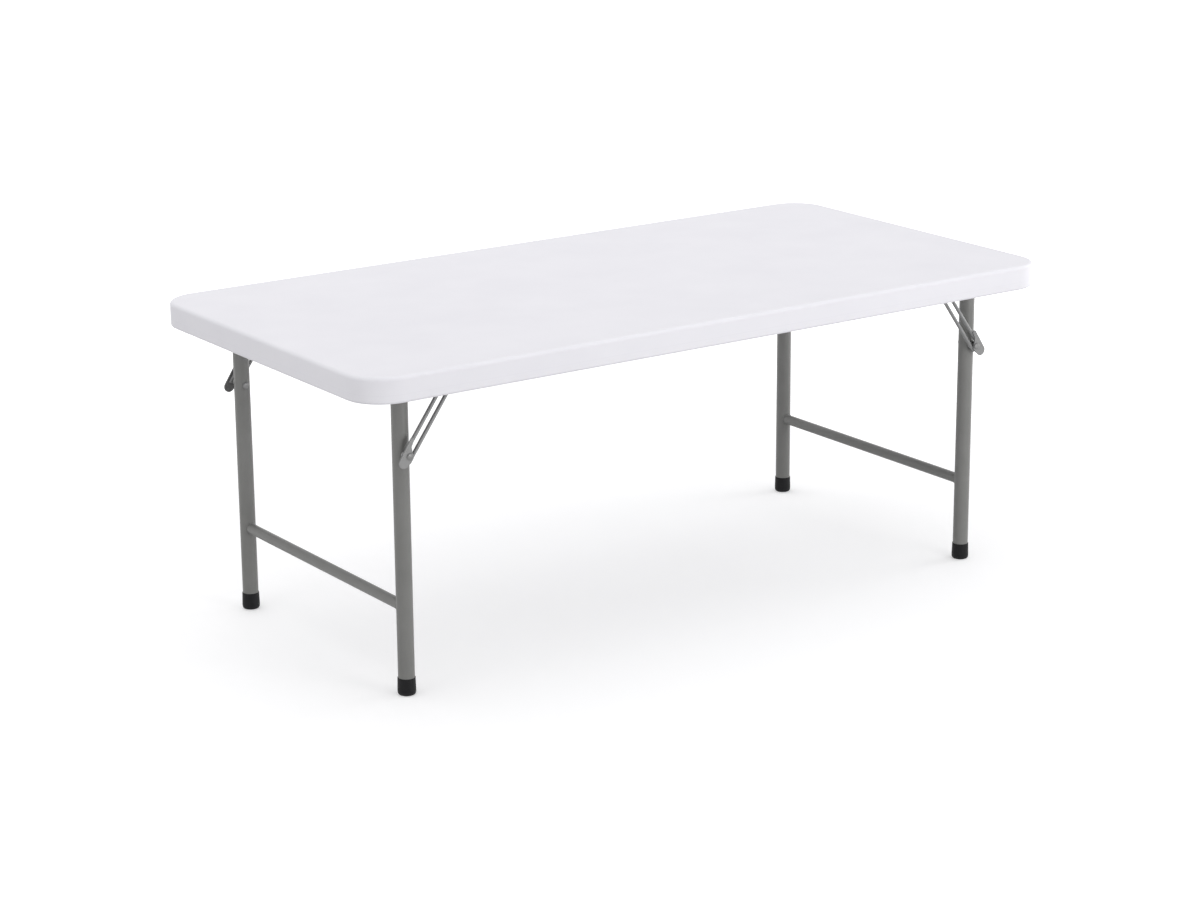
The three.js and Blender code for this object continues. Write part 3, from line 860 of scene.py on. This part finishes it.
for end in ends:
    for side in sides:
        spacer = bmesh.new()
        turned(
            spacer,
            [(latch_bore, spacer_inside), (spacer_radius, spacer_inside),
             (spacer_radius, spacer_outside), (latch_bore, spacer_outside)],
        )
        round_over(spacer, turned_edge_round, 3, sharper_than=60)
        piece = made(
            f"spacer_bush_{end}_{side}", corner_place(outward(spacer), end, side), zinc
        )
        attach(piece, f"{end}_leg_frame")
        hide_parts(f"brace_spacer_{end}_{side}")

        rod = bmesh.new()
        bend = rod_spacing / 2
        bmesh.ops.create_circle(
            rod, cap_ends=True, segments=20, radius=rod_radius,
            matrix=Matrix.Translation((-rod_tail, 0, bend)) @ Matrix.Rotation(math.pi / 2, 4, "Y"),
        )
        run = bmesh.ops.extrude_edge_only(rod, edges=rod.edges[:])
        for vert in new_vertices(run):
            vert.co.x = brace_length
        around = bmesh.ops.spin(
            rod,
            geom=new_vertices(run)
            + [edge for edge in run["geom"] if isinstance(edge, bmesh.types.BMEdge)],
            cent=(brace_length, 0, 0), axis=(0, 1, 0), dvec=(0, 0, 0), angle=math.pi, steps=18,
        )
        back = bmesh.ops.extrude_edge_only(
            rod, edges=[e for e in around["geom_last"] if isinstance(e, bmesh.types.BMEdge)]
        )
        for vert in new_vertices(back):
            vert.co.x = -rod_tail
        bmesh.ops.edgeloop_fill(
            rod, edges=[edge for edge in back["geom"] if isinstance(edge, bmesh.types.BMEdge)]
        )
        round_over(rod, rod_end_round, 3, sharper_than=60)
        bmesh.ops.translate(rod, vec=(0, rod_layer, 0), verts=rod.verts)
        piece = made(
            f"brace_wire_{end}_{side}", corner_place(about_rivet(rod), end, side), brace_paint
        )
        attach(piece, f"{end}_{side}_brace")
        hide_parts(f"brace_rod_{end}_{side}")

        latch = bmesh.new()
        outline(
            latch, (-11.5 * mm, 11 * mm), ((-11.5 * mm, 2.7 * mm), 180), (-7 * mm, -7 * mm),
            (0.4 * mm, -7 * mm), (12.4 * mm, 5 * mm), (21 * mm, 6.5 * mm),
            ((21 * mm, 9.5 * mm), 180),
        )
        outline(latch, (latch_bore, 0), ((0, 0), 345))
        fill(latch)
        slab(latch, (0, latch_thickness, 0))
        round_over(latch, latch_edge_round, 3, sharper_than=60)
        bmesh.ops.translate(latch, vec=(0, latch_inside, 0), verts=latch.verts)
        piece = made(
            f"thumb_plate_{end}_{side}", corner_place(about_rivet(latch), end, side), brace_paint
        )
        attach(piece, f"{end}_{side}_brace")
        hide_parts(f"latch_plate_{end}_{side}")

        dome = [
            (head_radius * math.cos(turn), rivet_head_side + rivet_head_rise * math.sin(turn))
            for turn in (math.radians(15 * step) for step in range(6))
        ]
        dome.append((0, rivet_head_side + rivet_head_rise))
        rivet = bmesh.new()
        turned(
            rivet,
            [(radius, rivet_inside - rise) for radius, rise in dome[::-1]]
            + [(head_radius, rivet_inside), (rivet_radius, rivet_inside),
               (rivet_radius, rivet_outside), (head_radius, rivet_outside)]
            + [(radius, rivet_outside + rise) for radius, rise in dome],
        )
        piece = made(
            f"leg_rivet_{end}_{side}", corner_place(outward(rivet), end, side), brace_paint
        )
        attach(piece, f"{end}_leg_frame")
        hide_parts(f"brace_rivet_{end}_{side}")

        pin = bmesh.new()
        turned(
            pin,
            [(0, pin_inside), (head_radius, pin_inside), (head_radius, sleeve_inside),
             (sleeve_radius, sleeve_inside), (sleeve_radius, sleeve_outside),
             (pin_radius, sleeve_outside), (pin_radius, pin_outside - pin_head),
             (head_radius, pin_outside - pin_head), (head_radius, pin_outside),
             (0, pin_outside)],
        )
        round_over(pin, turned_edge_round, 3, sharper_than=60)
        bmesh.ops.rotate(pin, matrix=Matrix.Rotation(-math.pi / 2, 3, "X"), verts=pin.verts)
        bmesh.ops.translate(pin, vec=(brace_length, 0, 0), verts=pin.verts)
        piece = made(f"slot_pin_{end}_{side}", corner_place(about_rivet(pin), end, side), zinc)
        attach(piece, f"{end}_{side}_brace")
        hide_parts(f"guide_pin_{end}_{side}")

# ---------------------------------------------------------------------------
# Studio: a plain pale floor that shows white and keeps a soft shadow, a pale room that is
# brighter overhead, low softboxes around it, and the camera at the photograph's angle.
# ---------------------------------------------------------------------------

floor_reach = 15
glow_start, glow_end = 0.9, 2.2
glow_beneath, glow_beyond = 0.33, 1.0
room_beside, room_overhead = 0.5, 1.05
softbox = (1.2, 1.2)
aim_at = Vector((0, 0, 0.4))
camera_place = (-2.508664, -3.564990, 1.479927)
camera_yaw, camera_dip, camera_roll = 0.6087078521, 0.2826283935, 0.0074601834


def to_the_eye(tree):
    """Gives 1 for what the camera sees, mirrored or through glass too, and 0 for bounced light."""
    path = add(tree, "ShaderNodeLightPath")
    seen = add(
        tree, "ShaderNodeMath",
        {0: path.outputs["Is Camera Ray"], 1: path.outputs["Is Glossy Ray"]},
        operation="MAXIMUM",
    )
    through = add(
        tree, "ShaderNodeMath",
        {0: seen.outputs[0], 1: path.outputs["Is Transmission Ray"]}, operation="MAXIMUM",
    )
    return through.outputs[0]


floor_form = bmesh.new()
bmesh.ops.create_grid(floor_form, x_segments=1, y_segments=1, size=floor_reach)
floor_mesh = bpy.data.meshes.new("studio_floor")
floor_form.to_mesh(floor_mesh)
floor_form.free()
floor = bpy.data.objects.new("studio_floor", floor_mesh)
bpy.context.scene.collection.objects.link(floor)

# White paper: matt, with a faint cloud of 25 mm in its fibres. To the camera it glows more
# with distance, until it is as white as the backdrop. The light that it bounces up to the
# table is that of a plain pale grey.
paper, tree = blank("white_paper_sweep")
place = add(tree, "ShaderNodeTexCoord").outputs["Object"]
away = add(tree, "ShaderNodeVectorMath", {0: place}, operation="LENGTH")
glow = add(
    tree, "ShaderNodeMapRange",
    {0: away.outputs["Value"], 1: glow_start, 2: glow_end, 3: glow_beneath, 4: glow_beyond},
)
fibre = add(tree, "ShaderNodeTexNoise", {"Vector": place, "Scale": 1 / 0.025, "Detail": 4})
sheet = add(
    tree, "ShaderNodeMix",
    {0: fibre.outputs["Fac"], 6: linear("#e3e3e4"), 7: linear("#e8e8e9")}, data_type="RGBA",
)
lit = add(tree, "ShaderNodeBsdfDiffuse", {"Color": sheet.outputs[2]})
white = add(tree, "ShaderNodeEmission", {"Color": (1, 1, 1, 1), "Strength": glow.outputs[0]})
shown = add(tree, "ShaderNodeAddShader", {0: lit.outputs[0], 1: white.outputs[0]})
pale = add(tree, "ShaderNodeBsdfDiffuse", {"Color": linear("#c4c4c4")})
both = add(
    tree, "ShaderNodeMixShader", {0: to_the_eye(tree), 1: pale.outputs[0], 2: shown.outputs[0]}
)
add(tree, "ShaderNodeOutputMaterial", {"Surface": both.outputs[0]})
floor_mesh.materials.append(paper)

world = bpy.data.worlds.new("pale_studio")
world.use_nodes = True
tree = world.node_tree
tree.nodes.clear()
around = add(tree, "ShaderNodeTexCoord").outputs["Generated"]
facing = add(tree, "ShaderNodeSeparateXYZ", {0: around})
level = add(
    tree, "ShaderNodeMapRange",
    {0: facing.outputs["Z"], 1: 0.0, 2: 1.0, 3: room_beside, 4: room_overhead},
)
room = add(
    tree, "ShaderNodeBackground", {"Color": (1, 1, 1, 1), "Strength": level.outputs[0]}
)
backdrop = add(tree, "ShaderNodeBackground", {"Color": (1, 1, 1, 1), "Strength": 1.0})
both = add(
    tree, "ShaderNodeMixShader", {0: to_the_eye(tree), 1: room.outputs[0], 2: backdrop.outputs[0]}
)
add(tree, "ShaderNodeOutputWorld", {"Surface": both.outputs[0]})
bpy.context.scene.world = world

for name, spot, size, energy in (
    ("right_softbox", (3.3, -0.6, 0.7), softbox, 22),
    ("front_softbox", (0.8, -3.2, 0.65), softbox, 28),
    ("left_softbox", (-3.2, -0.6, 0.9), softbox, 7),
    ("back_overhead_light", (0.0, 1.5, 2.5), (1.8, 1.2), 6),
):
    lamp = bpy.data.lights.new(name, "AREA")
    lamp.shape = "RECTANGLE"
    lamp.size, lamp.size_y = size
    lamp.energy = energy
    light = bpy.data.objects.new(name, lamp)
    aimed = (aim_at - Vector(spot)).to_track_quat("-Z", "Y")
    light.matrix_world = Matrix.Translation(spot) @ aimed.to_matrix().to_4x4()
    bpy.context.scene.collection.objects.link(light)

lens = bpy.data.cameras.new("camera")
lens.sensor_fit = "HORIZONTAL"
lens.sensor_width = 36
lens.lens = 88.618
lens.clip_end = 100
camera = bpy.data.objects.new("camera", lens)
camera.matrix_world = (
    Matrix.Translation(camera_place)
    @ Matrix.Rotation(-camera_yaw, 4, "Z")
    @ Matrix.Rotation(math.pi / 2 - camera_dip, 4, "X")
    @ Matrix.Rotation(-camera_roll, 4, "Z")
)
bpy.context.scene.collection.objects.link(camera)
bpy.context.scene.camera = camera
bpy.context.scene.view_settings.view_transform = "Standard"
